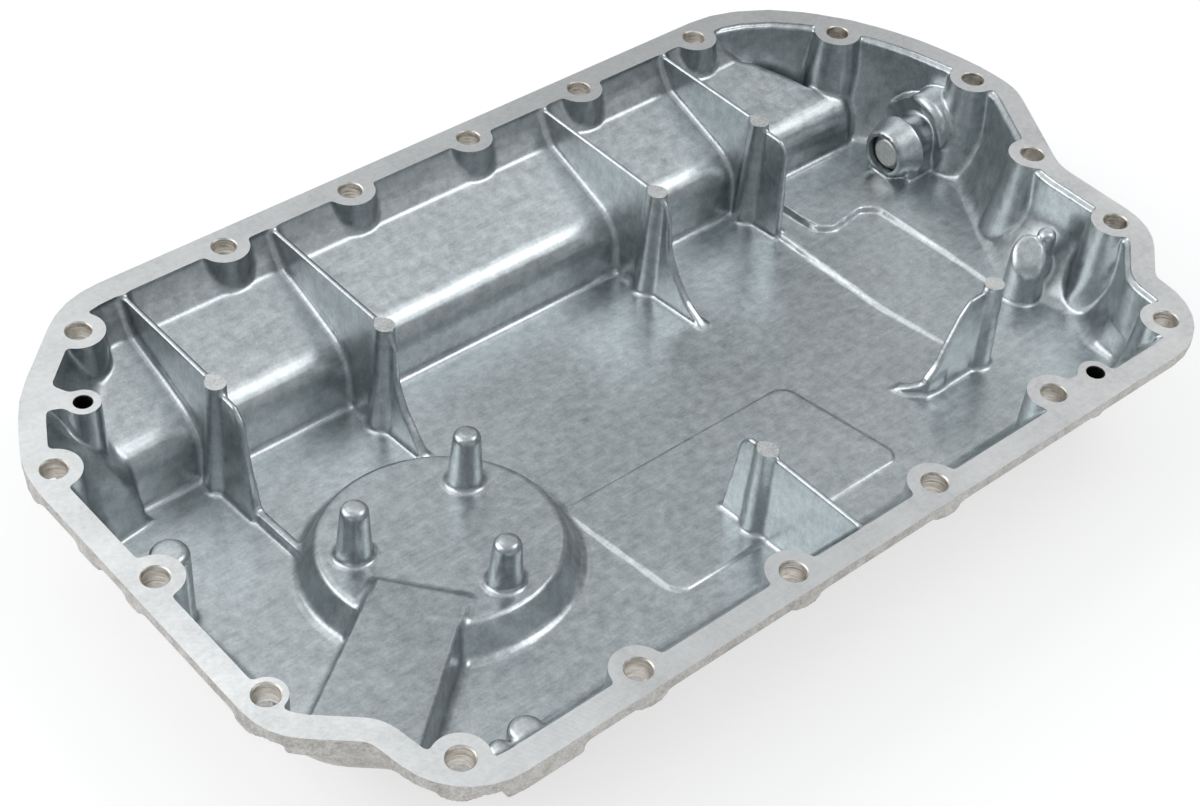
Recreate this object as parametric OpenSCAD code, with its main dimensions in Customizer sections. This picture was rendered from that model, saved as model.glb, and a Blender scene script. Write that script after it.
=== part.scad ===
// Engine oil pan: a shallow one-piece die-cast sump with a machined sealing
// flange, a screw-in drain plug and its flat sealing washer.
// Millimetres, +Z out of the open side, X along the pan, Y towards the wall
// that carries the long shelf. The origin is under the middle of the flange,
// on the plane that the four cast feet stand on.

/* [Flange] */
// Height of the sealing face above the feet
pan_h = 44; // [42:0.5:52]
// Thickness of the flange plate
flange_t = 4; // [3:0.25:6]
// Width of the plain sealing land
land_w = 7; // [6:0.25:8]
// Diameter of the clearance holes for the flange bolts
bolt_d = 7; // [6:0.1:7.5]
// Thickness of the flange under each bolt head
bolt_pad_t = 6.5; // [5:0.25:8]
// Radius of the round land around each bolt hole
boss_r = 7.4; // [7:0.1:8]
// Diameter of the two dowel holes
dowel_d = 5; // [4:0.1:5.5]
// Depth of the two dowel holes
dowel_depth = 11; // [6:0.5:14]

/* [Shell] */
// Wall thickness of the casting
wall_t = 4; // [3:0.25:5]
// Height of the inner floor at the shelf side
floor_low = 5.7; // [5:0.1:8]
// Rise of the floor for each millimetre towards the front wall
floor_rise = 0.08; // [0:0.01:0.1]
// Height of the shelf where it meets the back wall
shelf_back_h = 33.5; // [31:0.5:35]
// Height of the shelf at its front crest
shelf_front_h = 24.5; // [22:0.5:27]

/* [Ribs and posts] */
// Distance of rib and post tops below the sealing face
top_gap = 0.6; // [0.3:0.1:2]
// Diameter of the round posts at the top
post_d = 6; // [5:0.1:8]
// Thickness of the webs and ribs
rib_t = 2.2; // [1.6:0.1:3]

/* [Sensor seat] */
// Top radius of the raised round seat
seat_r = 33; // [30:0.5:34]
// Height of the raised round seat above the floor
seat_h = 9; // [7:0.5:10]
// Radius of the circle that the three pegs stand on
peg_circle_r = 23.5; // [21:0.5:24.5]
// Height of the pegs above the seat
peg_h = 17.5; // [12:0.5:19]

/* [Drain] */
// Nominal diameter of the drain thread
plug_d = 14; // [12:0.5:16]
// Width across the flats of the plug head
plug_af = 19; // [17:0.5:20]
// Thickness of the sealing washer
washer_t = 1.5; // [1:0.1:2]

/* [Hidden] */
arc_n = 4;
tilt = atan(floor_rise);

// Outer edge of the flange: x, y and corner radius, anticlockwise.
OUTLINE = [
    [-148.2, -101.5, 22], [130.5, -101.5, 23], [130.8, -75.5, 5],
    [149.5, -60, 22], [149.8, -23, 15], [170.5, 12.5, 20], [170.5, 28, 60],
    [165.5, 50, 80], [155.5, 72.5, 75], [137.5, 93, 50], [118, 101.5, 40],
    [-127.3, 101.5, 30], [-157.5, 73, 50], [-168.1, 53.5, 36],
    [-170.5, 43.9, 36], [-170.5, -57.5, 20], [-152.5, -73.2, 6]];
// Foot of the inner walls, corner for corner with OUTLINE. The left and the
// front wall lean far inwards, and the left one steps in beside the shelf.
FOOT = [
    [-132, -77, 12], [122.5, -77, 5], [123, -66, 6],
    [132.5, -52, 6], [123, -30, 10], [151, 14, 8], [151.5, 30, 12],
    [146, 47, 10], [138, 66, 20], [126, 81, 20], [112, 88, 20],
    [-118, 88, 20], [-138.5, 64, 10], [-138.5, 50.5, 2],
    [-148.5, 46.5, 4], [-148.5, -51, 14], [-136, -63, 8]];

// Flange bolts: x, y and the direction in which the bolt head is reached.
BOLTS = [
    [-130, 87.5, 135], [-163, 45.5, 180], [-163, -1, 180],
    [-163, -47.5, 180], [-139, -89.5, 225], [-89, -94.5, 270],
    [-37, -94.5, 270], [15, -94.5, 270], [67.5, -90.5, 270],
    [118, -89.5, 300], [142, -51.5, 345], [147.5, -14, 330],
    [163, 24.5, 0], [146, 69, 35], [105, 94.5, 90], [55.5, 94.5, 90],
    [11, 94.5, 90], [-33.5, 94.5, 90], [-78, 94.5, 90]];
DOWELS = [[-144, 62.5], [83.5, -92]];
// Posts: x and y.
POSTS = [[-112, 48.7], [-61.7, 40.8], [40.2, 40.8], [90.5, 48.7],
    [-11, -58.7], [90.5, -48.8]];
// Feet under the casting: x and y.
FEET = [[-128, 40], [118, 38], [-95, -66], [100, -66]];
SEAT = [-84.5, -14.5];
DRAIN = [138, 35.5, 17.8];
drain_seat_x = 158;

function floor_z(y) = floor_low + (45 - y) * floor_rise;
function unit(v) = v / norm(v);
function xy(p) = [p[0], p[1]];
function at(l, i) = l[(i + len(l)) % len(l)];
// One rounded corner at b between a and c.
function corner(a, b, c, r) =
    let (u = unit(a - b), w = unit(c - b), h = acos(u * w) / 2,
         m = b + unit(u + w) * r / sin(h), s = b + u * r / tan(h) - m,
         e = b + w * r / tan(h) - m, a0 = atan2(s[1], s[0]),
         d0 = atan2(e[1], e[0]) - a0,
         d = d0 > 180 ? d0 - 360 : d0 < -180 ? d0 + 360 : d0)
    [for (k = [0:arc_n]) m + r * [cos(a0 + d * k / arc_n), sin(a0 + d * k / arc_n)]];
function rounded(l) = [for (i = [0:len(l) - 1])
    each corner(xy(at(l, i - 1)), xy(l[i]), xy(at(l, i + 1)), l[i][2])];
// The same corners moved inwards by d, with their radii to suit.
function inset(l, d) = [for (i = [0:len(l) - 1])
    let (u = unit(xy(l[i]) - xy(at(l, i - 1))), w = unit(xy(at(l, i + 1)) - xy(l[i])),
         n = [-u[1], u[0]], m = [-w[1], w[0]],
         q = xy(l[i]) + d * (n + m) / (1 + n * m),
         r = cross(u, w) > 0 ? l[i][2] - d : l[i][2] + d)
    [q[0], q[1], max(r, 1)]];

// A drafted solid between a lower and an upper ring of as many points. Both
// ends are fans about the Z axis.
module draft(low, high, z0, z1) {
    n = len(low);
    polyhedron(
        points = concat([for (p = low) [p[0], p[1], z0]], [for (p = high) [p[0], p[1], z1]],
            [[0, 0, z0], [0, 0, z1]]),
        faces = concat([for (i = [0:n - 1]) [2 * n, i, (i + 1) % n]],
            [for (i = [0:n - 1]) [2 * n + 1, n + (i + 1) % n, n + i]],
            [for (i = [0:n - 1]) [i, n + i, (i + 1) % n]],
            [for (i = [0:n - 1]) [(i + 1) % n, n + i, n + (i + 1) % n]]));
}
// A profile in Y and Z, drawn out along X from x0 to x1.
module along_x(x0, x1) translate([x0, 0, 0]) rotate([90, 0, 90]) linear_extrude(x1 - x0) children();
// A profile in X and Z, drawn out along Y from y0 to y1.
module along_y(y0, y1) translate([0, y1, 0]) rotate([90, 0, 0]) linear_extrude(y1 - y0) children();

module inner_profile() polygon([
    [98, pan_h + 3], [96, pan_h + 3], [94, pan_h - 1.5], [87, shelf_back_h],
    [62, shelf_front_h + 1], [57, shelf_front_h - 1.5], [55, shelf_front_h - 5],
    [53.5, floor_z(53.5)], [-110, floor_z(-110)], [-110, pan_h + 3]]);
module outer_profile() polygon([
    [99, pan_h + 1], [98, pan_h - 2], [91, shelf_back_h - wall_t],
    [62, shelf_front_h - wall_t + 1], [60.5, shelf_front_h - wall_t - 1],
    [59, shelf_front_h - 9], [57.5, floor_z(57.5) - wall_t],
    [-112, floor_z(-112) - wall_t], [-112, pan_h + 1]]);

module outside() intersection() {
    draft(rounded(inset(FOOT, -wall_t)), rounded(inset(OUTLINE, land_w - wall_t)), 0, pan_h);
    along_x(-180, 180) outer_profile();
}
module inside() intersection() {
    draft(rounded(FOOT), rounded(inset(OUTLINE, land_w)), 4, pan_h + 1);
    along_x(-180, 180) inner_profile();
}

module flange() {
    translate([0, 0, pan_h - flange_t]) linear_extrude(flange_t) polygon(rounded(OUTLINE));
    // thicker pads under the bolt heads, a block under the front left corner
    intersection() {
        translate([0, 0, pan_h - 12]) linear_extrude(12) polygon(rounded(OUTLINE));
        union() {
            for (b = BOLTS) translate([b[0], b[1], pan_h - bolt_pad_t - 0.7])
                cylinder(h = bolt_pad_t, r = 7.6, $fn = 24);
            translate([-165, 19, pan_h - bolt_pad_t]) cylinder(h = bolt_pad_t - 1, r = 7, $fn = 20);
            translate([-134, -104, pan_h - 7.5]) cube([23, 12, 6]);
        }
    }
}

// Round bosses that the flange bolts pass, standing inside the wall.
module bolt_bosses() {
    for (b = BOLTS) translate([b[0], b[1], 6]) cylinder(h = pan_h - 6, r1 = boss_r + 0.9, r2 = boss_r, $fn = 28);
    for (d = DOWELS) translate([d[0], d[1], 12]) cylinder(h = pan_h - 12, r1 = 5.6, r2 = 4.9, $fn = 24);
    translate([DOWELS[0][0], DOWELS[0][1], 20]) rotate([0, 0, 135]) translate([0, -3.5, 0]) cube([12, 7, pan_h - 20]);
    translate([67.5, -97, 20]) cube([16, 7.5, pan_h - 20]);
}

// A slightly tapered post.
module post(p) {
    z0 = floor_z(p[1]) - 2;
    translate([p[0], p[1], z0]) cylinder(h = pan_h - top_gap - z0, d1 = post_d + 1.8, d2 = post_d, $fn = 24);
}
// A web in front of a post, with an edge that sweeps down to the floor.
module sweep_web(p, reach, top, tail) {
    f = floor_z(p[1]);
    t = pan_h - top_gap - 1;
    along_x(p[0] - rib_t / 2 - 0.1, p[0] + rib_t / 2 + 0.1) polygon([
        [p[1], f - 2], [p[1], t - 0.5], [p[1] - top, t - 1.2],
        [p[1] - top - 1.6, t - 8], [p[1] - top - 2.6, f + (t - f) * 0.55],
        [p[1] - top - 2.6 - tail * 0.25, f + (t - f) * 0.32],
        [p[1] - top - 2.6 - tail * 0.55, f + (t - f) * 0.15],
        [p[1] - reach, f + 0.6], [p[1] - reach, f - 1]]);
}
module back_rib(p) {
    along_x(p[0] - rib_t / 2, p[0] + rib_t / 2) polygon([
        [p[1], floor_z(p[1]) - 2], [p[1], pan_h - top_gap], [96, pan_h - top_gap],
        [96, 28], [60, 20], [56, 4]]);
}
module posts_and_ribs() {
    for (p = POSTS) post(p);
    for (i = [0:3]) back_rib(POSTS[i]);
    sweep_web(POSTS[0], 15.5, 8.5, 4);
    sweep_web(POSTS[1], 17, 4, 10);
    sweep_web(POSTS[2], 26, 5, 18);
    sweep_web(POSTS[3], 15, 11.5, 1);
    // low ridge from the first web to the round seat
    along_y(8, 36) polygon([[-113.6, 4], [-113.6, 9], [-112.8, 10.4], [-111.2, 10.4], [-110.4, 9], [-110.4, 4]]);
    // short web behind the front post, long web from it to the front wall
    p = POSTS[4];
    t = pan_h - top_gap - 0.4;
    along_x(p[0] - rib_t / 2, p[0] + rib_t / 2) polygon([
        [-98, 10], [-98, t], [p[1], t], [p[1] + 8, t - 0.6], [p[1] + 9.2, t - 3],
        [p[1] + 11.5, floor_z(-47) + 0.6], [p[1] + 11.5, 8]]);
    // web of the last post, towards the left, with its tail bent back
    q = POSTS[5];
    f = floor_z(q[1]);
    along_y(q[1] - rib_t / 2, q[1] + rib_t / 2) polygon([
        [q[0], f - 2], [q[0], t], [q[0] - 10, t - 0.8], [q[0] - 12.5, t - 4.5],
        [q[0] - 17, f + 15.5], [q[0] - 20, f + 9], [q[0] - 22, f + 5], [q[0] - 22, f - 2]]);
    translate([q[0] - 20.5, q[1] + 0.1, f - 2]) rotate([0, 0, 146]) along_y(-rib_t / 2, rib_t / 2)
        polygon([[-1.5, 0], [-1.5, 8.5], [2, 6.5], [6, 4.4], [10, 3.2], [10, 0]]);
}

// Raised seat, three pegs and the straight cover that runs from it to the wall.
module seat_frame() translate([SEAT[0], SEAT[1], floor_z(SEAT[1])]) rotate([-tilt, 0, 0]) children();
module pegs(r1, r2, z0, h) for (a = [36, 156, 276])
    translate([peg_circle_r * cos(a), peg_circle_r * sin(a), z0]) cylinder(h = h, r1 = r1, r2 = r2, $fn = 24);
module seat() {
    seat_frame() {
        translate([0, 0, -3]) cylinder(h = seat_h + 3, r1 = seat_r + 8, r2 = seat_r, $fn = 64);
        pegs(5.6, 3.5, seat_h - 1, peg_h + 1);
    }
    cover(0, 0);
}
// s shrinks the cover to the hollow under it.
module cover(s, low) intersection() {
    translate([-101, -27, 0]) rotate([0, 0, 217]) translate([0, 30, 0]) rotate([90, 0, 0]) linear_extrude(60)
        polygon([[s - 1, low], [s - 1, 22.2 - s], [70, 28.6 - s], [70, low]]);
    translate([0, 0, low]) linear_extrude(60) polygon([
        [-108 - s * 0.2, -15.5 - s * 1.1], [-94 - s * 1.1, -36.5 - s * 0.2], [-97.5 - s * 1.2, -41.5 + s * 0.3],
        [-137 - s * 0.3, -75 + s], [-160 + s, -52.5 + s * 0.3]]);
}
module seat_hollow() {
    seat_frame() difference() {
        translate([0, 0, -14]) cylinder(h = 14 + seat_h - wall_t, r = seat_r - wall_t, $fn = 48);
        pegs(6, 6, -15, 40);
    }
    cover(wall_t, -2);
}

// Low steps of the floor at the drain end and the flat pad in the middle.
module floor_steps() {
    step(0.6, rounded([[-48.8, -19.5, 5], [-45, -64.5, 5], [41.8, -64.5, 5], [36.8, -19.5, 5]]));
    step(1.8, [[90.5, 62], [90.3, 34], [88.6, 0], [87.8, -12], [88.6, -24], [90.5, -48.5], [123, -32], [165, -20], [165, 62]]);
    step(3.6, [[99.5, 62], [99.5, 33], [101, 26.5], [105, 24], [119, 24.6], [122.4, 22], [122.6, 0], [122, -33], [165, -20], [165, 62]]);
}
module step(h, pts) intersection() {
    linear_extrude(30) polygon(pts);
    along_x(-180, 180) polygon([[66, floor_z(66) - 2], [66, floor_z(66) + h],
        [-100, floor_z(-100) + h], [-100, floor_z(-100) - 2]]);
}

// Boss that the drain plug screws into, and the bulges of the wall around it.
module drain_boss() {
    translate(DRAIN) rotate([0, 90, 0]) cylinder(h = 20.5, r1 = 9.6, r2 = 13.5, $fn = 32);
    translate([149.5, 33.3, 24.2]) rotate([0, 90, 0]) cylinder(h = 17.5, r1 = 11, r2 = 12.8, $fn = 28);
    translate([126, -35.2, 8]) cylinder(h = 24, r1 = 6.2, r2 = 5.2, $fn = 24);
}
module drain_boss_outside() translate([146, DRAIN[1], DRAIN[2]]) rotate([0, 90, 0])
    cylinder(h = drain_seat_x - 146, r = 12.5, $fn = 32);

module small_domes() {
    translate([-152.5, 12.5, 8]) cylinder(h = 26, r = 4.6, $fn = 20);
    translate([-115.5, -85.5, 8]) cylinder(h = 26, r = 4.6, $fn = 20);
    translate([-123.5, -85.5, 8]) cylinder(h = 25, r = 3, $fn = 16);
}

module bolt_holes() for (b = BOLTS) translate([b[0], b[1], 0]) {
    translate([0, 0, pan_h - 12]) cylinder(h = 13, d = bolt_d, $fn = 24);
    // room for the bolt head and its key, open to the outside
    translate([0, 0, -1]) cylinder(h = pan_h - bolt_pad_t + 1, r = 5.6, $fn = 20);
    rotate([0, 0, b[2]]) translate([0, -4.7, -1]) cube([24, 9.4, pan_h - bolt_pad_t + 0.4]);
}

module pan_casting() color([0.66, 0.68, 0.69]) difference() {
    union() {
        difference() {
            union() {
                flange();
                outside();
                drain_boss_outside();
            }
            inside();
        }
        intersection() {
            outside();
            union() {
                bolt_bosses();
                posts_and_ribs();
                seat();
                floor_steps();
                drain_boss();
                small_domes();
            }
        }
        for (f = FEET) translate([f[0], f[1], 0]) cylinder(h = floor_z(f[1]) - wall_t / 2, r = 9, $fn = 32);
    }
    bolt_holes();
    seat_hollow();
    for (d = DOWELS) translate([d[0], d[1], pan_h - dowel_depth]) cylinder(h = dowel_depth + 1, d = dowel_d, $fn = 24);
    translate([DRAIN[0] - 1, DRAIN[1], DRAIN[2]]) rotate([0, 90, 0]) cylinder(h = 26, d = plug_d + 0.2, $fn = 32);
    // machined seat for the washer and room for the plug's head
    translate([drain_seat_x, DRAIN[1], DRAIN[2]]) rotate([0, 90, 0]) cylinder(h = 24, r = 12.3, $fn = 32);
}

// Screw plug: chamfered thread, collar and hexagon head.
module drain_plug() color([0.55, 0.56, 0.57]) translate([0, DRAIN[1], DRAIN[2]]) rotate([0, 90, 0]) {
    z = drain_seat_x + washer_t;
    union() {
        translate([0, 0, DRAIN[0] + 1.2]) cylinder(h = 1.8, d1 = plug_d - 3.6, d2 = plug_d, $fn = 64);
        translate([0, 0, DRAIN[0] + 3]) cylinder(h = z - DRAIN[0] - 3, d = plug_d, $fn = 64);
        translate([0, 0, z]) cylinder(h = 2.5, d = 22, $fn = 64);
        translate([0, 0, z + 2.5]) intersection() {
            cylinder(h = 7.5, d = plug_af / cos(30), $fn = 6);
            cylinder(h = 7.5, d1 = plug_af + 4.5, d2 = plug_af + 1.2, $fn = 64);
        }
    }
}

// Flat ring between the plug's collar and the casting.
module plug_washer() color([0.78, 0.79, 0.8]) translate([drain_seat_x, DRAIN[1], DRAIN[2]]) rotate([0, 90, 0])
    difference() {
        cylinder(h = washer_t, d = 20, $fn = 64);
        translate([0, 0, -1]) cylinder(h = washer_t + 2, d = plug_d + 0.4, $fn = 64);
    }

pan_casting();
drain_plug();
plug_washer();
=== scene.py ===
import math
import time

import bmesh
import bpy
import numpy as np
from mathutils import Matrix, Vector


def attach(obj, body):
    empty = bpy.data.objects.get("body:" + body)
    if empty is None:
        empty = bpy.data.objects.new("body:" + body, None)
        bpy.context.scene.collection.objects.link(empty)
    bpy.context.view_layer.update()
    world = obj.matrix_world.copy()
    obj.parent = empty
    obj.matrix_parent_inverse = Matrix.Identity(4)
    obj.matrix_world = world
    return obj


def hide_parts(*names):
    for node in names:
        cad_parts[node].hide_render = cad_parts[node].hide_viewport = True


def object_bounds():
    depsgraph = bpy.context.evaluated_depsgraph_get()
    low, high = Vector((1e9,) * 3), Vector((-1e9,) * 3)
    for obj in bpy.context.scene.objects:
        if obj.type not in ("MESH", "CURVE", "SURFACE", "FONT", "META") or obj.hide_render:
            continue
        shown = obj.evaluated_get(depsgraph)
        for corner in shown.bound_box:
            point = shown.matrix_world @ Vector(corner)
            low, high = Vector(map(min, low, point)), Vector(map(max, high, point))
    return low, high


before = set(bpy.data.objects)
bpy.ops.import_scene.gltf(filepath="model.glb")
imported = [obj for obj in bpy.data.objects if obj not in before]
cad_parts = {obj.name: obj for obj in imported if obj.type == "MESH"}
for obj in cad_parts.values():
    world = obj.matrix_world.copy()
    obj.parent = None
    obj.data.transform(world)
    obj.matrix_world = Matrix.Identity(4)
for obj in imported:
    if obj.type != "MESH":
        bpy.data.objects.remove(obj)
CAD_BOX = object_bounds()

T0 = time.time()


def say(*a):
    print("[scene %5.1f s]" % (time.time() - T0), *a)


# ---------------------------------------------------------------- the casting
# The casting is one distance field in millimetres (the frame's own axes, with
# Z from the feet). It is meshed, then "machined" with a few boolean cuts.
H = 44.0
LAND = 7.0
WALL = 4.0
VOX = 0.74
TILT = math.atan(0.08)

OUTLINE = [
    (-148.2, -101.5, 22), (130.5, -101.5, 23), (130.8, -75.5, 5),
    (149.5, -60, 22), (149.8, -23, 15), (170.5, 12.5, 20), (170.5, 28, 60),
    (165.5, 50, 80), (155.5, 72.5, 75), (137.5, 93, 50), (118, 101.5, 40),
    (-127.3, 101.5, 30), (-157.5, 73, 50), (-168.1, 53.5, 36),
    (-170.5, 43.9, 36), (-170.5, -57.5, 20), (-152.5, -73.2, 6)]
FOOT = [
    (-132, -77, 12), (122.5, -77, 5), (123, -66, 6),
    (132.5, -52, 6), (123, -30, 10), (151, 14, 8), (151.5, 30, 12),
    (146, 47, 10), (138, 66, 20), (126, 81, 20), (112, 88, 20),
    (-118, 88, 20), (-138.5, 64, 10), (-138.5, 50.5, 2),
    (-148.5, 46.5, 4), (-148.5, -51, 14), (-136, -63, 8)]
BOLTS = [
    (-130, 87.5, 135), (-163, 45.5, 180), (-163, -1, 180),
    (-163, -47.5, 180), (-139, -89.5, 225), (-89, -94.5, 270),
    (-37, -94.5, 270), (15, -94.5, 270), (67.5, -90.5, 270),
    (118, -89.5, 300), (142, -51.5, 345), (147.5, -14, 330),
    (163, 24.5, 0), (146, 69, 35), (105, 94.5, 90), (55.5, 94.5, 90),
    (11, 94.5, 90), (-33.5, 94.5, 90), (-78, 94.5, 90)]
DOWELS = [(-144, 62.5), (83.5, -92)]
POSTS = [(-112, 48.7), (-61.7, 40.8), (40.2, 40.8), (90.5, 48.7),
         (-11, -58.7), (90.5, -48.8)]
FEET = [(-128, 40), (118, 38), (-95, -66), (100, -66)]
SEAT = (-84.5, -14.5)
DRAIN_Y, DRAIN_Z, DRAIN_X, DRAIN_SEAT_X = 35.5, 17.8, 138.0, 158.0


def floor_z(y):
    return 5.7 + (45.0 - y) * 0.08


def rounded(pts, seg=7):
    out = []
    n = len(pts)
    for i in range(n):
        a, b, c = (np.array(pts[(i + k) % n][:2], float) for k in (-1, 0, 1))
        r = pts[i][2]
        if r < 0.05:
            out.append(b)
            continue
        u = (a - b) / np.linalg.norm(a - b)
        w = (c - b) / np.linalg.norm(c - b)
        h = math.acos(max(-1, min(1, float(u @ w)))) / 2
        m = b + (u + w) / np.linalg.norm(u + w) * r / math.sin(h)
        s, e = b + u * r / math.tan(h) - m, b + w * r / math.tan(h) - m
        a0 = math.atan2(s[1], s[0])
        d = math.atan2(e[1], e[0]) - a0
        d = d - 2 * math.pi if d > math.pi else d + 2 * math.pi if d < -math.pi else d
        k = max(2, int(abs(d) / math.radians(90) * seg) + 1)
        out += [m + r * np.array([math.cos(a0 + d * j / k), math.sin(a0 + d * j / k)])
                for j in range(k + 1)]
    return np.array(out)


def poly_sdf(px, py, pts):
    """Signed distance to a closed polygon, negative inside."""
    px, py = np.broadcast_arrays(px, py)
    px, py = px.astype(np.float32), py.astype(np.float32)
    d = np.full(px.shape, 1e9, np.float32)
    inside = np.zeros(px.shape, bool)
    pts = np.asarray(pts, np.float32)
    for i in range(len(pts)):
        a, b = pts[i - 1], pts[i]
        ex, ey = b - a
        wx, wy = px - a[0], py - a[1]
        t = np.clip((wx * ex + wy * ey) / max(ex * ex + ey * ey, 1e-9), 0, 1)
        wx2, wy2 = wx - ex * t, wy - ey * t
        np.minimum(d, wx2 * wx2 + wy2 * wy2, out=d)
        if abs(ey) > 1e-9:
            cross = ((a[1] > py) != (b[1] > py)) & (px < ex * (py - a[1]) / ey + a[0])
            inside ^= cross
    d = np.sqrt(d)
    d[inside] *= -1
    return d


def join(a, b, r):
    """Union with a fillet of radius r."""
    if r <= 0:
        return np.minimum(a, b)
    u, w = np.maximum(r - a, 0), np.maximum(r - b, 0)
    return np.maximum(r, np.minimum(a, b)) - np.sqrt(u * u + w * w)


def meet(a, b, r):
    """Intersection with a rounded edge of radius r."""
    if r <= 0:
        return np.maximum(a, b)
    u, w = np.maximum(r + a, 0), np.maximum(r + b, 0)
    return np.minimum(-r, np.maximum(a, b)) + np.sqrt(u * u + w * w)


def step01(t):
    t = np.clip(t, 0, 1)
    return t * t * (3 - 2 * t)


xs = np.arange(-173.5, 173.5 + VOX, VOX, dtype=np.float32)
ys = np.arange(-104.3, 104.3 + VOX, VOX, dtype=np.float32)
zs = np.arange(-2.03, 46.6 + VOX, VOX, dtype=np.float32)
X, Y, Z = xs[:, None, None], ys[None, :, None], zs[None, None, :]
X2, Y2 = xs[:, None], ys[None, :]


def window(lo, hi, m=4.0):
    """Slices of the grid that cover a box, and its coordinates."""
    s = []
    for g, a, b in ((xs, lo[0] - m, hi[0] + m), (ys, lo[1] - m, hi[1] + m), (zs, lo[2] - m, hi[2] + m)):
        i, j = np.searchsorted(g, [a, b])
        s.append(slice(max(i - 1, 0), min(j + 1, len(g))))
    return tuple(s), X[s[0]], Y[:, s[1]], Z[:, :, s[2]]


def build_field():
    out2 = poly_sdf(X2, Y2, rounded(OUTLINE))
    foot2 = poly_sdf(X2, Y2, rounded(FOOT))
    fz = floor_z(Y2) + 0 * X2
    # floor steps at the drain end, and the low pad in the middle
    line_a = poly_sdf(X2, Y2, rounded([
        (90.5, 70, 0), (90.3, 34, 4), (88.4, 0, 40), (87.6, -12, 30), (88.4, -24, 30), (90.5, -50, 0),
        (200, -50, 0), (200, 70, 0)]))
    line_b = poly_sdf(X2, Y2, rounded([
        (99.8, 70, 0), (99.8, 34, 3), (100.5, 26.5, 5), (105, 23.6, 4), (118.5, 25.6, 3.5), (123.4, 22.6, 5),
        (123.4, -2, 10), (121.8, -40, 0), (200, -40, 0), (200, 70, 0)]))
    pad = poly_sdf(X2, Y2, rounded([
        (-47.2, -20.3, 5), (-45.0, -64.6, 5), (41.4, -64.2, 5), (37.8, -20.3, 5)]))
    rise = 1.9 * step01(0.5 - line_a / 1.3) + 1.9 * step01(0.5 - line_b / 1.1)
    rise = rise * np.clip((Y2 + 60) / 90, 0, 1.1)
    rise = rise + 0.55 * step01(0.5 - pad / 0.9)
    fz_in = fz + rise
    # plan section: a ruled loft from the land's inner edge to the foot outline
    t = np.clip((H - Z) / (H - fz[:, :, None]), 0, 1.25)
    steep = step01((X - 108) / 16) * step01((62 - Y) / 14)
    t = t + (np.where(t < 1, t ** 2.4, t) - t) * steep
    corner = step01((-108 - X) / 16) * step01((Y - 43) / 15)
    t = np.clip(t * (1 + 0.85 * corner), 0, 1.25 - 0.2 * corner)
    top3 = (out2 + LAND)[:, :, None]
    cav_w = top3 + (foot2 - out2 - LAND)[:, :, None] * t
    # the back wall, the shelf and its steep front, as one profile in Y and Z
    prof = rounded([
        (140, 60, 0), (94.8, 60, 0), (94.6, 42.6, 2), (87.0, 33.4, 2.5), (56.3, 22.9, 11),
        (54.5, 15.5, 10), (53.2, 4.0, 0), (52.8, -30, 0), (140, -30, 0)], 8)
    shelf = poly_sdf(ys[:, None], zs[None, :], prof)[None]
    end = poly_sdf(X2, Y2, rounded([
        (-260, 160, 0), (-260, 20, 0), (143.2, 20, 0), (143.6, 53, 3), (145.5, 60, 4),
        (138.3, 66.6, 12), (131.5, 77, 12), (124.5, 85.5, 6), (117, 91, 3), (114, 96, 0), (114, 160, 0)]))
    shelf = meet(shelf, end[:, :, None], 3.2)
    cos_t = math.cos(TILT)
    cav_plain = meet(meet(cav_w, (fz[:, :, None] - Z) * cos_t, 5.0), -shelf, 4.0)
    outer = cav_plain - WALL
    cav = meet(meet(cav_w, -shelf, 3.2), (fz_in[:, :, None] - Z) * cos_t, 2.2)
    return out2, foot2, fz_in, cav, outer, shelf


out2, foot2, fz_in, cav, outer, shelf = build_field()
say("base field", cav.shape)

# what stands inside the cavity is taken out of it piece by piece
def stand(lo, hi, fn, r):
    s, x, y, z = window(lo, hi, 3 + r)
    cav[s] = meet(cav[s], -fn(x, y, z), r)


def post(px, py):
    z0 = floor_z(py)
    def fn(x, y, z):
        rr = 3.0 + (H - 0.6 - z) * 0.03
        d = np.sqrt((x - px) ** 2 + (y - py) ** 2) - rr
        return np.maximum(d, z - (H + 2.2))
    stand((px - 5, py - 5, z0 - 3), (px + 5, py + 5, H), fn, 1.5)


def plate_x(x0, pts, th_top, th_low, r_edge, fillet, bend=None):
    """An upright plate in a plane of constant X with a Y-Z outline, drafted."""
    p = rounded(pts, 5)
    ylo, yhi = p[:, 0].min(), p[:, 0].max()
    zlo, zhi = p[:, 1].min(), p[:, 1].max()
    def fn(x, y, z):
        q = poly_sdf(y[0, :, 0][:, None], z[0, 0, :][None, :], p)[None]
        half = (th_top + (th_low - th_top) * np.clip((H - z) / 36, 0, 1)) / 2
        return meet(np.abs(x - x0) - half, q + 0 * x, r_edge)
    stand((x0 - 4, ylo, zlo), (x0 + 4, yhi, min(zhi, H + 2)), fn, fillet)


def plate_y(y0, pts, th_top, th_low, r_edge, fillet):
    p = rounded(pts, 5)
    xlo, xhi = p[:, 0].min(), p[:, 0].max()
    zlo, zhi = p[:, 1].min(), p[:, 1].max()
    def fn(x, y, z):
        q = poly_sdf(x[:, 0, 0][:, None], z[0, 0, :][None, :], p)[:, None, :]
        half = (th_top + (th_low - th_top) * np.clip((H - z) / 36, 0, 1)) / 2
        return meet(np.abs(y - y0) - half, q + 0 * y, r_edge)
    stand((xlo, y0 - 4, zlo), (xhi, y0 + 4, min(zhi, H + 2)), fn, fillet)


TOP = H - 0.6
# back ribs
for px, py in POSTS[:4]:
    plate_x(px, [(py, -6, 0), (py, TOP, 0), (110, TOP, 0), (110, -6, 0)], 1.5, 3.4, 0.45, 2.2)
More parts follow.
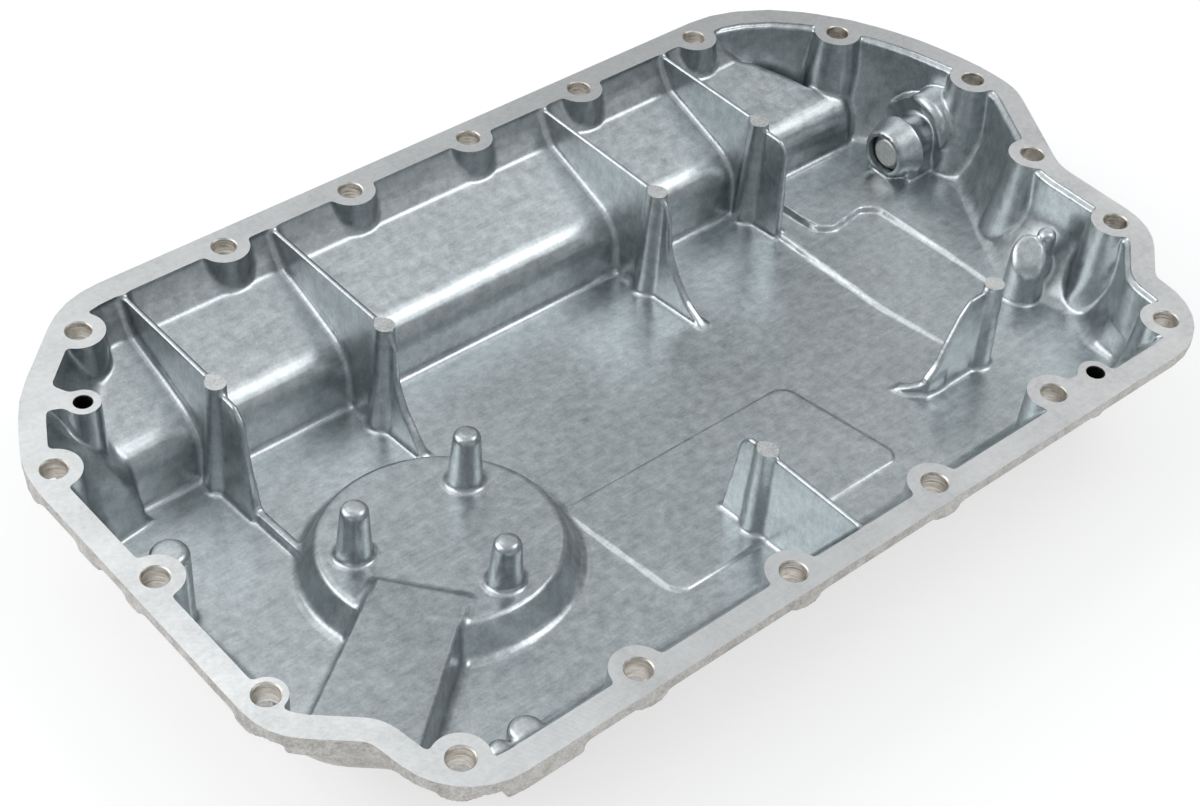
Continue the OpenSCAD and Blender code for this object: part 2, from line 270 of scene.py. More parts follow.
# front webs, whose edges sweep to the floor
plate_x(-112, [(48, -6, 0), (48, TOP - 1.6, 0), (40, TOP - 2.0, 2.2), (36.2, TOP - 5.5, 3), (34.2, 26, 8), (31.0, 12.6, 8), (29.2, 4, 0), (29, -6, 0)], 1.5, 3.4, 0.45, 1.6)
plate_x(-61.7, [(40, -6, 0), (40, TOP - 1.6, 0), (37, TOP - 2.2, 1.2), (35.2, TOP - 5.5, 3), (34.2, 26, 10), (30, 18.5, 10), (24.6, 12.8, 12), (20.0, 6.5, 0), (20, -6, 0)], 1.5, 3.0, 0.45, 1.6)
plate_x(40.2, [(40, -6, 0), (40, TOP - 1.0, 0), (36, TOP - 1.8, 2), (33.9, TOP - 7, 5), (32.6, 26, 10), (29.2, 19.5, 12), (23.3, 12.4, 14), (14.2, 8.0, 6), (13.6, 5, 0), (13.5, -6, 0)], 1.5, 3.0, 0.45, 1.6)
plate_x(90.5, [(48, -6, 0), (48, TOP - 1.4, 0), (38.5, TOP - 1.4, 2.5), (35.6, TOP - 4.2, 2.5), (34.8, 24, 0), (34.0, 8, 0), (33.8, -6, 0)], 1.5, 3.0, 0.45, 1.6)
# low ridge from the first web to the seat
plate_x(-111.7, [(36, -6, 0), (36, 9.4, 0), (8, 11.7, 0), (8, -6, 0)], 2.0, 2.6, 0.7, 1.4)
# front post: short web behind it, long web to the wall
plate_x(-11, [(-110, -6, 0), (-110, TOP - 0.2, 0), (-52.5, TOP - 0.4, 1.6), (-49.6, TOP - 3.5, 4), (-48.2, 27, 8), (-46.6, 13.5, 0), (-46.5, -6, 0)], 1.5, 3.2, 0.45, 1.6)
# last post: web to the left with a tail that bends back
plate_y(-48.8, [(90, -6, 0), (90, TOP - 1.0, 0), (80.8, TOP - 1.4, 2), (77.4, TOP - 5.5, 4), (73.2, 29.4, 8), (70, 22, 7), (66.8, 18.8, 0), (66.8, -6, 0)], 1.5, 3.2, 0.45, 1.6)
def tail(x, y, z):
    # an arc in plan, from the web's foot towards +Y and -X
    cx, cy, rad = 71.5, -40.6, 8.4
    ax = np.sqrt((x - cx) ** 2 + (y - cy) ** 2)
    ang = np.degrees(np.arctan2(y - cy, x - cx))       # -90 is the web's end
    u = np.clip((-ang - 90) / 80.0, -0.3, 1.2)
    d = np.abs(ax - rad) - 1.5
    d = np.maximum(d, (u - 1.0) * 11)
    d = np.maximum(d, (-0.15 - u) * 11)
    top = 18.8 - 5.0 * np.clip(u, 0, 1)
    d = np.where((ang > 0) & (ang < 180), np.float32(5.0), d)
    return meet(d, z - top, 0.8)
stand((60, -52, 6), (73, -38, 21), tail, 1.4)
for px, py in POSTS:
    post(px, py)

# raised round seat with its three pegs, in the tilted frame of the floor
def seat(x, y, z):
    dx, dy, dz = x - SEAT[0], y - SEAT[1], z - floor_z(SEAT[1])
    c, s = math.cos(TILT), math.sin(TILT)
    v, w = dy * c - dz * s, dy * s + dz * c
    rad = np.sqrt(dx * dx + v * v)
    side = (rad - 33.2) * 0.88 + (w - 9) * 0.47
    return meet(side, w - 9.0, 1.3)
stand((-126, -56, 2), (-43, 28, 26), seat, 2.0)
def pegs(x, y, z):
    c, s = math.cos(TILT), math.sin(TILT)
    dz = z - floor_z(SEAT[1])
    d = None
    for a in (36, 156, 276):
        px = SEAT[0] + 23.5 * math.cos(math.radians(a))
        py = SEAT[1] + 23.5 * math.sin(math.radians(a))
        rad = np.sqrt((x - px) ** 2 + (y - py) ** 2)
        k = (rad - 3.7 - (36.5 - z) * 0.075) * 0.99
        k = meet(k, z - 36.6, 2.0)
        d = k if d is None else np.minimum(d, k)
    return d
stand((-115, -46, 14), (-58, 6, 38), pegs, 1.8)

# straight cover between the seat and the front left wall
def cover(x, y, z):
    a = math.radians(217)
    ux, uy = math.cos(a), math.sin(a)
    u = (x + 101) * ux + (y + 27.5) * uy          # along, from the seat
    v = -(x + 101) * uy + (y + 27.5) * ux         # across, + is towards the front right
    top = 22.0 + u * 0.088
    side_r = (v - 12.2 - u * 0.03) * 0.975 + (z - top) * 0.20
    side_l = (-v - 12.6 - u * 0.035) * 0.97 + (z - top) * 0.22
    d = meet(side_r, z - top, 0.8)
    d = meet(side_l, d, 0.8)
    return meet(d, (-u - 0.6) * 0.97 + (z - top) * 0.22, 0.6)
stand((-170, -92, 4), (-88, -12, 28), cover, 2.2)

# bolt bosses
for bx, by, ba in BOLTS:
    flare = 0.10 if bx > 140 or (bx, by) == (118, -89.5) else 0.03
    ring = 5.3 if (bx, by) == (-163, -47.5) else 7.4
    def boss(x, y, z, bx=bx, by=by, flare=flare, ring=ring):
        return (np.sqrt((x - bx) ** 2 + (y - by) ** 2) - ring - np.clip(H - z, 0, 40) * flare) * 0.995
    stand((bx - 12, by - 12, 0), (bx + 12, by + 12, 46), boss, 1.3)
for bx, by in DOWELS:
    def boss(x, y, z, bx=bx, by=by):
        return np.sqrt((x - bx) ** 2 + (y - by) ** 2) - 4.8 - np.clip(H - z, 0, 40) * 0.05
    stand((bx - 7, by - 7, 0), (bx + 7, by + 7, 46), boss, 2.0)
def neck(x, y, z):
    a = math.radians(135)
    u = (x + 144) * math.cos(a) + (y - 62.5) * math.sin(a)
    v = -(x + 144) * math.sin(a) + (y - 62.5) * math.cos(a)
    return np.maximum(np.abs(v) - 2.6 - np.clip(H - z, 0, 40) * 0.05 - np.clip(u - 3, 0, 9) * 0.35, -u) + 0 * z
stand((-158, 58, 4), (-140, 76, 46), neck, 1.5)
def saddle(x, y, z):
    return np.maximum(np.maximum(y + 89.6 - np.clip((H - z) * 0.04, 0, 2), np.abs(x - 75.5) - 9), -z) + 0 * x
stand((66, -104, 4), (86, -86, 46), saddle, 1.5)
say("stands")

# bosses and bulges of the end wall
def drain(x, y, z):
    # a cone with a rounded rim behind, and a narrower neck to the wall
    rad = np.sqrt((y - DRAIN_Y) ** 2 + (z - DRAIN_Z) ** 2)
    cone = meet((rad - 7.8 - np.clip(x - DRAIN_X, 0, 12) * 0.34) * 0.95, DRAIN_X - x, 0.6)
    cone = meet(cone, x - (DRAIN_X + 8.6), 0.8)
    return join(cone, np.maximum(rad - 7.9 - 3.4 * step01((DRAIN_Z - z) / 7), DRAIN_X + 4 - x), 0.5)
stand((136, 20, 6), (160, 52, 36), drain, 1.0)
def hood(x, y, z):
    # a crescent ridge round the upper outer side of the neck
    rad = np.sqrt((y - 34.0) ** 2 + (z - 24.0) ** 2)
    turn = np.degrees(np.arctan2(z - 24.0, y - 34.0)) % 360
    part = 1 - ((turn - 128.0) / 80.0) ** 2
    swell = 4.6 * np.sqrt(np.clip(part, 0, 1)) - 1.7 - 3.0 * np.clip(-part, 0, 1)
    return np.sqrt((rad - 9.9) ** 2 + np.minimum(x - 152.4, 0) ** 2) - swell
stand((146, 14, 6), (168, 54, 42), hood, 1.3)
def backing(x, y, z):
    # metal between the oil space and the room for the plug's head
    rad = np.sqrt((y - DRAIN_Y) ** 2 + (z - DRAIN_Z) ** 2)
    return np.maximum(rad - 14.2, DRAIN_SEAT_X - 2.6 - x)
stand((152, 18, 1), (172, 54, 36), backing, 1.6)
def bulge(x, y, z):
    rad = np.sqrt((x - 126.0) ** 2 + (y + 35.2) ** 2)
    cap = (z - 29.5) * 0.78 - (x - 126.0) * 0.46 - (y + 35.2) * 0.42
    d = meet(rad - 5.3 - np.clip(33 - z, 0, 40) * 0.045, cap, 2.3)
    rad2 = np.sqrt((x - 133.0) ** 2 + (y + 35.2) ** 2)
    d2 = meet(rad2 - 2.7 - np.clip(36 - z, 0, 40) * 0.05, z - 34.2, 1.8)
    return np.minimum(d, d2)
stand((116, -46, 6), (142, -24, 42), bulge, 1.2)
# gusset on the boss at the recess of the right edge
def gusset(x, y, z):
    a, b = np.array((140.0, -59.3, 41.5)), np.array((134.0, -49.3, 18.0))
    e = b - a
    t = np.clip(((x - a[0]) * e[0] + (y - a[1]) * e[1] + (z - a[2]) * e[2]) / float(e @ e), 0, 1)
    d = np.sqrt((x - a[0] - t * e[0]) ** 2 + (y - a[1] - t * e[1]) ** 2 + (z - a[2] - t * e[2]) ** 2)
    return np.maximum(d - 1.6, z - 42.6)
stand((128, -64, 18), (146, -46, 44), gusset, 2.2)
# ledge just under the land, along the right end
lip_zone = 93.0
s, x, y, z = window((lip_zone, -98, 30), (170, 100, 45), 4)
lip = meet(-((out2 + LAND)[s[0], s[1]][:, :, None]) - 1.7, z - 43.1, 0.7)
lip = np.maximum(lip, (lip_zone + 4 - x) * 0.5)
cav[s] = meet(cav[s], -lip, 0.8)

# small domes beside the left and front bosses
def domes(x, y, z):
    d = None
    for px, py, pr, pz in ((-151.3, 11.5, 5.2, 35.4), (-115.5, -85.5, 4.6, 34.0), (-123.5, -85.5, 3.0, 33.0)):
        rad = np.sqrt((x - px) ** 2 + (y - py) ** 2)
        k = meet(rad - pr - np.clip(pz - z, 0, 40) * 0.03, z - pz, 2.2)
        d = k if d is None else np.minimum(d, k)
    return d
stand((-160, 5, 6), (-145, 20, 38), domes, 1.6)
stand((-129, -93, 6), (-108, -78, 38), domes, 1.6)
say("walls")

# solid: between the cavity and the outer skin
solid = np.maximum(-cav, outer)
# flange plate with its pads
plate = meet(out2[:, :, None] + 0 * Z, (H - 4.2) - Z, 0.9)
solid = join(solid, np.maximum(plate, -cav), 1.6)
pads = np.full(solid.shape, 50, np.float32)
for bx, by, ba in BOLTS:
    s, x, y, z = window((bx - 9, by - 9, H - 8), (bx + 9, by + 9, 46))
    r = np.sqrt((x - bx) ** 2 + (y - by) ** 2)
    pads[s] = np.minimum(pads[s], meet(r - 7.6, (H - 7.0) - z, 0.6))
for px, py, pr, pz in ((-165, 19, 7, H - 6.5), (-161, -62, 6, H - 6.5)):
    s, x, y, z = window((px - 9, py - 9, H - 8), (px + 9, py + 9, 46))
    r = np.sqrt((x - px) ** 2 + (y - py) ** 2)
    pads[s] = np.minimum(pads[s], meet(r - pr, pz - z, 0.6))
s, x, y, z = window((-134, -104, H - 9), (-111, -92, 46))
pads[s] = np.minimum(pads[s], meet(meet(np.abs(x + 122.5) - 11.5, (H - 7.6) - z, 0.8), np.abs(y + 98) - 6, 0.5))
for dx, dy in DOWELS:
    s, x, y, z = window((dx - 7, dy - 7, H - 15), (dx + 7, dy + 7, 46))
    pads[s] = np.minimum(pads[s], meet(np.sqrt((x - dx) ** 2 + (y - dy) ** 2) - 4.8, (H - 13.5) - z, 0.6))
pads = meet(pads, out2[:, :, None] + 0.05, 0.8)
solid = join(solid, np.maximum(pads, -cav), 1.2)
del pads, plate
# drain boss outside
s, x, y, z = window((140, DRAIN_Y - 14, 4), (DRAIN_SEAT_X, DRAIN_Y + 14, 36), 6)
r = np.sqrt((y - DRAIN_Y) ** 2 + (z - DRAIN_Z) ** 2)
solid[s] = join(solid[s], np.maximum(meet(r - 12.5, x - DRAIN_SEAT_X, 0.6), -cav[s]), 2.0)
# room for the plug's head, down to its seat
s, x, y, z = window((DRAIN_SEAT_X, DRAIN_Y - 13, 3), (172, DRAIN_Y + 13, 33), 3)
r = np.sqrt((y - DRAIN_Y) ** 2 + (z - DRAIN_Z) ** 2)
solid[s] = meet(solid[s], -np.maximum(r - 12.3, DRAIN_SEAT_X - x), 0.5)
# hollow under the seat and the cover
def carve(lo, hi, fn, r):
    s, x, y, z = window(lo, hi, 3 + r)
    solid[s] = meet(solid[s], -fn(x, y, z), r)
def hollow(x, y, z):
    dx, dy, dz = x - SEAT[0], y - SEAT[1], z - floor_z(SEAT[1])
    c, sn = math.cos(TILT), math.sin(TILT)
    v, w = dy * c - dz * sn, dy * sn + dz * c
    rad = np.sqrt(dx * dx + v * v)
    d = meet(rad - 31.5 + w * 0.35, w - 4.6, 3.0)
    for a in (36, 156, 276):
        px = SEAT[0] + 23.5 * math.cos(math.radians(a))
        py = SEAT[1] + 23.5 * math.sin(math.radians(a))
        rr = np.sqrt((x - px) ** 2 + (y - py) ** 2)
        d = np.maximum(d, 6.0 - rr)
    return d
carve((-120, -50, -2), (-50, 22, 18), hollow, 1.5)
# bolt pockets from below, open to the outside
for bx, by, ba in BOLTS:
    def pocket(x, y, z, bx=bx, by=by, ba=ba):
        a = math.radians(ba)
        u = (x - bx) * math.cos(a) + (y - by) * math.sin(a)
        v = -(x - bx) * math.sin(a) + (y - by) * math.cos(a)
        r = np.sqrt(u * u + v * v) - 5.7
        slot = np.maximum(np.abs(v) - 5.0, -u)
        return np.maximum(np.minimum(r, slot), z - (H - 6.5))
    carve((bx - 16, by - 16, -2), (bx + 16, by + 16, H - 5), pocket, 0.5)
# feet
for px, py in FEET:
    s, x, y, z = window((px - 12, py - 12, -2), (px + 12, py + 12, floor_z(py)), 3)
    r = np.sqrt((x - px) ** 2 + (y - py) ** 2)
    foot = meet(meet(r - 8.6 - z * 0.03, 0.0 - z, 0.8), z - (floor_z(py) - 3.4), 0.0)
    solid[s] = np.maximum(join(solid[s], foot, 1.5), -cav[s])
solid = np.maximum(np.maximum(np.maximum(solid, -cav), Z - 45.6), np.maximum(out2[:, :, None] + 0.02, 0.02 - Z))
say("solid")


def surface_nets(v, g):
    """Closed quad mesh of the zero level, one vertex in each cell it crosses."""
    neg = v < 0
    shp = tuple(n - 1 for n in v.shape)
    cnt = np.zeros(shp, np.uint8)
    corners = [(i, j, k) for i in (0, 1) for j in (0, 1) for k in (0, 1)]
    for i, j, k in corners:
        cnt += neg[i:i + shp[0], j:j + shp[1], k:k + shp[2]]
    act = np.nonzero((cnt > 0) & (cnt < 8))
    idx = np.full(shp, -1, np.int32)
    idx[act] = np.arange(len(act[0]), dtype=np.int32)
    val = {c: v[act[0] + c[0], act[1] + c[1], act[2] + c[2]] for c in corners}
    acc = np.zeros((len(act[0]), 3), np.float64)
    num = np.zeros(len(act[0]), np.float64)
    for a in corners:
        for ax in range(3):
            if a[ax]:
                continue
            b = list(a)
            b[ax] = 1
            va, vb = val[a], val[tuple(b)]
            m = (va < 0) != (vb < 0)
            t = np.where(m, va / np.where(m, va - vb, 1), 0)
            for q in range(3):
                acc[:, q] += np.where(m, (t if q == ax else a[q]), 0)
            num += m
    pos = acc / num[:, None] + np.stack(act, 1)
    pts = np.stack([g[q][0] + pos[:, q] * VOX for q in range(3)], 1)
    quads = []
    for ax in range(3):
        lo = [slice(1, -1)] * 3
        lo[ax] = slice(0, v.shape[ax] - 1)
        hi = list(lo)
        hi[ax] = slice(1, v.shape[ax])
        a, b = neg[tuple(lo)], neg[tuple(hi)]
        e = np.nonzero(a != b)
        up = a[e]
        e = [e[q] + (1 if q != ax else 0) for q in range(3)]
        p, q = [(1, 2), (2, 0), (0, 1)][ax]
        def cell(dp, dq):
            c = list(e)
            c[p] = c[p] - dp
            c[q] = c[q] - dq
            return idx[tuple(c)]
        f = np.stack([cell(1, 1), cell(0, 1), cell(0, 0), cell(1, 0)], 1)
        f[~up] = f[~up][:, ::-1]
        quads.append(f)
    return pts, np.concatenate(quads)


pts, quads = surface_nets(solid, (xs, ys, zs))
say("surface", len(pts), len(quads))


def new_mesh(name, verts, faces):
    me = bpy.data.meshes.new(name)
    me.vertices.add(len(verts))
    me.vertices.foreach_set("co", np.asarray(verts, np.float32).ravel())
    faces = np.asarray(faces, np.int32)
    n = faces.shape[1]
    me.loops.add(faces.size)
    me.loops.foreach_set("vertex_index", faces.ravel())
    me.polygons.add(len(faces))
    me.polygons.foreach_set("loop_start", np.arange(0, faces.size, n, dtype=np.int32))
    me.update(calc_edges=True)
    ob = bpy.data.objects.new(name, me)
    bpy.context.scene.collection.objects.link(ob)
    return ob


def apply_modifiers(ob):
    dg = bpy.context.evaluated_depsgraph_get()
    me = bpy.data.meshes.new_from_object(ob.evaluated_get(dg))
    ob.modifiers.clear()
    old = ob.data
    ob.data = me
    bpy.data.meshes.remove(old)
    return ob


MM = 0.001
BOX_LO, BOX_HI = (np.array(c, np.float32) for c in CAD_BOX)
casting = new_mesh("pan", np.clip(pts * MM, BOX_LO, BOX_HI + (0, 0, 0.002)), quads)
target = 176000
m = casting.modifiers.new("lean", "DECIMATE")
m.ratio = min(1.0, target / (2.0 * len(quads)))
apply_modifiers(casting)
say("lean", len(casting.data.polygons))

# --------------------------------------------------------------- the machining
def lathe(name, prof, n=64, axis="Z", at=(0, 0, 0)):
    """Closed solid of revolution from (radius, height) pairs, in millimetres."""
    verts, faces = [], []
    for r, h in prof:
        for k in range(n):
            a = 2 * math.pi * k / n
            verts.append((r * math.cos(a), r * math.sin(a), h))
    m = len(prof)
    for i in range(m - 1):
        for k in range(n):
            k2 = (k + 1) % n
            faces.append((i * n + k, i * n + k2, (i + 1) * n + k2, (i + 1) * n + k))
    faces.append(tuple(reversed(range(n))))
    faces.append(tuple((m - 1) * n + k for k in range(n)))
    if axis == "X":
        verts = [(z, x, y) for x, y, z in verts]
    verts = [((x + at[0]) * MM, (y + at[1]) * MM, (z + at[2]) * MM) for x, y, z in verts]
    me = bpy.data.meshes.new(name)
    me.from_pydata(verts, [], faces)
    me.update()
    ob = bpy.data.objects.new(name, me)
    bpy.context.scene.collection.objects.link(ob)
    return ob


def cut(ob, tools):
    for tool in tools:
        m = ob.modifiers.new("cut", "BOOLEAN")
        m.operation = "DIFFERENCE"
        m.solver = "MANIFOLD"
        m.object = tool
    apply_modifiers(ob)
    for tool in tools:
        me = tool.data
        bpy.data.objects.remove(tool)
        bpy.data.meshes.remove(me)


def merged(tools, name):
    bm = bmesh.new()
    for t in tools:
        bm.from_mesh(t.data)
        me = t.data
        bpy.data.objects.remove(t)
        bpy.data.meshes.remove(me)
    me = bpy.data.meshes.new(name)
    bm.to_mesh(me)
    bm.free()
    ob = bpy.data.objects.new(name, me)
    bpy.context.scene.collection.objects.link(ob)
    return ob


bpy.ops.mesh.primitive_cube_add(size=1, location=(0, 0, 0))
lid = bpy.context.object
lid.data.transform(Matrix.Translation((0, 0, (H + 5) * MM)) @ Matrix.Diagonal((0.4, 0.3, 0.01, 1)))
drills = [lathe("drill", [(3.5, 24), (3.5, H - 0.35), (3.95, H + 0.1), (3.95, H + 1)], 48, "Z", (bx, by, 0)) for bx, by, ba in BOLTS]
drills += [lathe("drill", [(2.5, H - 11), (2.5, H - 0.2), (2.75, H + 0.05), (2.75, H + 1)], 40, "Z", (bx, by, 0)) for bx, by in DOWELS]
drills = merged(drills, "drills")
POST_TOP = H - 0.55
facing = [lathe("facing", [(4.7, POST_TOP), (4.7, H + 3.5)], 40, "Z", (px, py, 0)) for px, py in POSTS]
facing = merged(facing, "facing")
bore = lathe("bore", [(6.5, DRAIN_X - 2), (6.3, DRAIN_X + 0.3), (6.3, DRAIN_X + 1.9), (7.1, DRAIN_X + 2.5), (7.1, DRAIN_SEAT_X - 0.8), (7.9, DRAIN_SEAT_X + 0.0), (7.9, DRAIN_SEAT_X + 2), (7.9, 170)], 64, "X", (0, DRAIN_Y, DRAIN_Z))
cut(casting, [lid])
cut(casting, [facing])
say("lid", len(casting.data.polygons))
cut(casting, [drills])
say("drills", len(casting.data.polygons))
cut(casting, [bore])
say("bore", len(casting.data.polygons))
bm = bmesh.new()
bm.from_mesh(casting.data)
bad = [e for e in bm.edges if len(e.link_faces) != 2]
say("open or odd edges", len(bad), [tuple(round(c * 1000, 1) for c in e.verts[0].co) for e in bad[:6]])
bm.free()
casting.name = "pan_body"
casting.data.name = "pan_body"


def mesh_arrays(me):
    co = np.zeros(len(me.vertices) * 3, np.float32)
    me.vertices.foreach_get("co", co)
    fn = np.zeros(len(me.polygons) * 3, np.float32)
    me.polygons.foreach_get("normal", fn)
    fc = np.zeros(len(me.polygons) * 3, np.float32)
    me.polygons.foreach_get("center", fc)
    return co.reshape(-1, 3) / MM, fn.reshape(-1, 3), fc.reshape(-1, 3) / MM


def sample(v, p):
    """Trilinear value of a grid field at points in millimetres."""
    g = (p - np.array([xs[0], ys[0], zs[0]], np.float32)) / VOX
    lim = np.array(v.shape) - 2
    i = np.clip(np.floor(g).astype(int), 0, lim)
    f = g - i
    out = 0
    for a in (0, 1):
        for b in (0, 1):
            for c in (0, 1):
                w = (f[:, 0] if a else 1 - f[:, 0]) * (f[:, 1] if b else 1 - f[:, 1]) * (f[:, 2] if c else 1 - f[:, 2])
                out = out + w * v[i[:, 0] + a, i[:, 1] + b, i[:, 2] + c]
    return out


# Each cast face is shaded with the field's own gradient, each machined one flat.
me = casting.data
co, fnorm, fcen = mesh_arrays(me)
grad = np.stack([sample(solid, co + d) - sample(solid, co - d) for d in np.eye(3, dtype=np.float32) * VOX * 0.6], 1)
grad /= np.maximum(np.linalg.norm(grad, axis=1), 1e-6)[:, None]
on_field = np.abs(sample(solid, fcen)) < 0.45
flat_top = (fnorm[:, 2] > 0.99) & (fcen[:, 2] > H - 0.05)
post_face = (fnorm[:, 2] > 0.99) & (np.abs(fcen[:, 2] - POST_TOP) < 0.05)
cut_face = flat_top | post_face
for bx, by, r, zlow in [(b[0], b[1], 3.5, 30.0) for b in BOLTS] + [(d[0], d[1], 2.5, H - 11.5) for d in DOWELS]:
    rr = np.hypot(fcen[:, 0] - bx, fcen[:, 1] - by)
    cut_face |= (rr < r + 0.55) & (fcen[:, 2] > zlow) & (np.abs(fnorm[:, 2]) < 0.95) & (rr > r - 0.4)
rr = np.hypot(fcen[:, 1] - DRAIN_Y, fcen[:, 2] - DRAIN_Z)
in_bore = (rr < 8.0) & (fcen[:, 0] > DRAIN_X - 1.5)
cut_face |= in_bore
start = np.zeros(len(me.polygons), np.int32)
total = np.zeros(len(me.polygons), np.int32)
me.polygons.foreach_get("loop_start", start)
me.polygons.foreach_get("loop_total", total)
lv = np.zeros(len(me.loops), np.int32)
me.loops.foreach_get("vertex_index", lv)
lf = np.repeat(np.arange(len(total)), total)
ln = grad[lv]
agree = (ln * fnorm[lf]).sum(1) > 0.55
use_grad = (~cut_face[lf]) & agree
ln = np.where(use_grad[:, None], ln, fnorm[lf])
# the flat stretches of the casting keep one normal up to their edges
for flat in ((0, 0.08, 1), (0, 0.059, 1), (0, 0.038, 1), (0, -0.343, 1), (0.07, 0.053, 1)):
    flat = np.array(flat, np.float32) / np.linalg.norm(flat)
    level = (fnorm @ flat > math.cos(math.radians(0.9))) & ~cut_face
    ln = np.where(level[lf][:, None], flat, ln)
me.polygons.foreach_set("use_smooth", [True] * len(me.polygons))
me.normals_split_custom_set([tuple(v) for v in ln.astype(float)])
say("normals", float(use_grad.mean()))
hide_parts("pan_casting")
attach(casting, "root")

# --------------------------------------------------------- the plug and washer
def turned(name, xs_, radius, n=96, hole=None):
    """A solid along X whose radius may change with the angle. With hole, a ring."""
    verts, faces = [], []
    m = len(xs_)
    for i, x in enumerate(xs_):
        for k in range(n):
            a = 2 * math.pi * k / n
            r = radius(i, x, a)
            verts.append((x * MM, (DRAIN_Y + r * math.cos(a)) * MM, (DRAIN_Z + r * math.sin(a)) * MM))
    last = m if hole else m - 1
    for i in range(last):
        j = (i + 1) % m
        for k in range(n):
            k2 = (k + 1) % n
            faces.append((i * n + k, i * n + k2, j * n + k2, j * n + k))
    if not hole:
        faces.append(tuple(reversed(range(n))))
        faces.append(tuple((m - 1) * n + k for k in range(n)))
    mesh = bpy.data.meshes.new(name)
    mesh.from_pydata(verts, [], faces)
    bm = bmesh.new()
    bm.from_mesh(mesh)
    bmesh.ops.recalc_face_normals(bm, faces=bm.faces)
    for f in bm.faces:
        f.smooth = True
    for e in bm.edges:
        e.smooth = len(e.link_faces) == 2 and e.calc_face_angle(0) < math.radians(28)
    bm.to_mesh(mesh)
    bm.free()
    ob = bpy.data.objects.new(name, mesh)
    bpy.context.scene.collection.objects.link(ob)
    return ob


HEAD = DRAIN_SEAT_X + 1.5
TIP = DRAIN_X + 1.2
PITCH = 1.5
stations = [("c", TIP + 0.1, 1.2), ("c", TIP + 0.1, 3.2), ("c", TIP, 3.5), ("c", TIP, 4.3), ("c", TIP + 0.2, 4.6), ("c", TIP + 0.9, 5.6)]
x = TIP + 1.2
while x < DRAIN_SEAT_X - 1.6:
    stations.append(("t", x, 0))
    x += PITCH / 8
stations += [("c", DRAIN_SEAT_X - 1.3, 6.2), ("c", DRAIN_SEAT_X - 0.2, 6.2), ("c", HEAD - 0.6, 6.5), ("c", HEAD, 7.1),
             ("c", HEAD, 10.5), ("c", HEAD + 0.15, 10.85), ("c", HEAD + 0.5, 11.0), ("c", HEAD + 2.0, 11.0),
             ("c", HEAD + 2.35, 10.9), ("c", HEAD + 2.5, 10.6)]
stations += [("h", HEAD + 2.5, 10.5), ("h", HEAD + 2.7, 10.97), ("h", HEAD + 4.5, 10.97), ("h", HEAD + 8.4, 10.97),
             ("h", HEAD + 8.8, 10.75), ("h", HEAD + 9.2, 10.3), ("h", HEAD + 9.6, 9.85), ("h", HEAD + 9.9, 9.35),
             ("c", HEAD + 10.0, 8.9), ("c", HEAD + 10.0, 6.4), ("c", HEAD + 9.75, 5.9), ("c", HEAD + 9.75, 1.0)]


def plug_radius(i, x, a):
    kind_, _, r = stations[i]
    if kind_ == "c":
        return r
    if kind_ == "t":
        ph = (x / PITCH - a / (2 * math.pi)) % 1.0
        tooth = min(1.0, max(0.0, (abs(ph - 0.5) * 2 - 0.12) / 0.7))
        ease = min(1.0, (x - TIP - 0.9) / 2.2, (DRAIN_SEAT_X - 1.2 - x) / 1.2)
        return 6.12 + 0.8 * tooth * max(0.0, ease)
    b = (math.degrees(a) + 30) % 60 - 30
    return min(r, 9.5 / math.cos(math.radians(b)))


plug = turned("plug_body", [st[1] for st in stations], plug_radius)
ring_prof = [(DRAIN_SEAT_X, 7.5), (DRAIN_SEAT_X, 9.6), (DRAIN_SEAT_X + 0.2, 9.9), (DRAIN_SEAT_X + 0.5, 10.0),
             (HEAD - 0.5, 10.0), (HEAD - 0.2, 9.9), (HEAD, 9.6), (HEAD, 7.5), (HEAD - 0.2, 7.25), (DRAIN_SEAT_X + 0.2, 7.25)]
washer = turned("washer_ring", [q[0] for q in ring_prof], lambda i, x, a: ring_prof[i][1], 80, True)
for ob, node, slot in ((plug, "drain_plug", "plug_steel"), (washer, "plug_washer", "washer_aluminium")):
    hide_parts(node)
    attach(ob, "root")

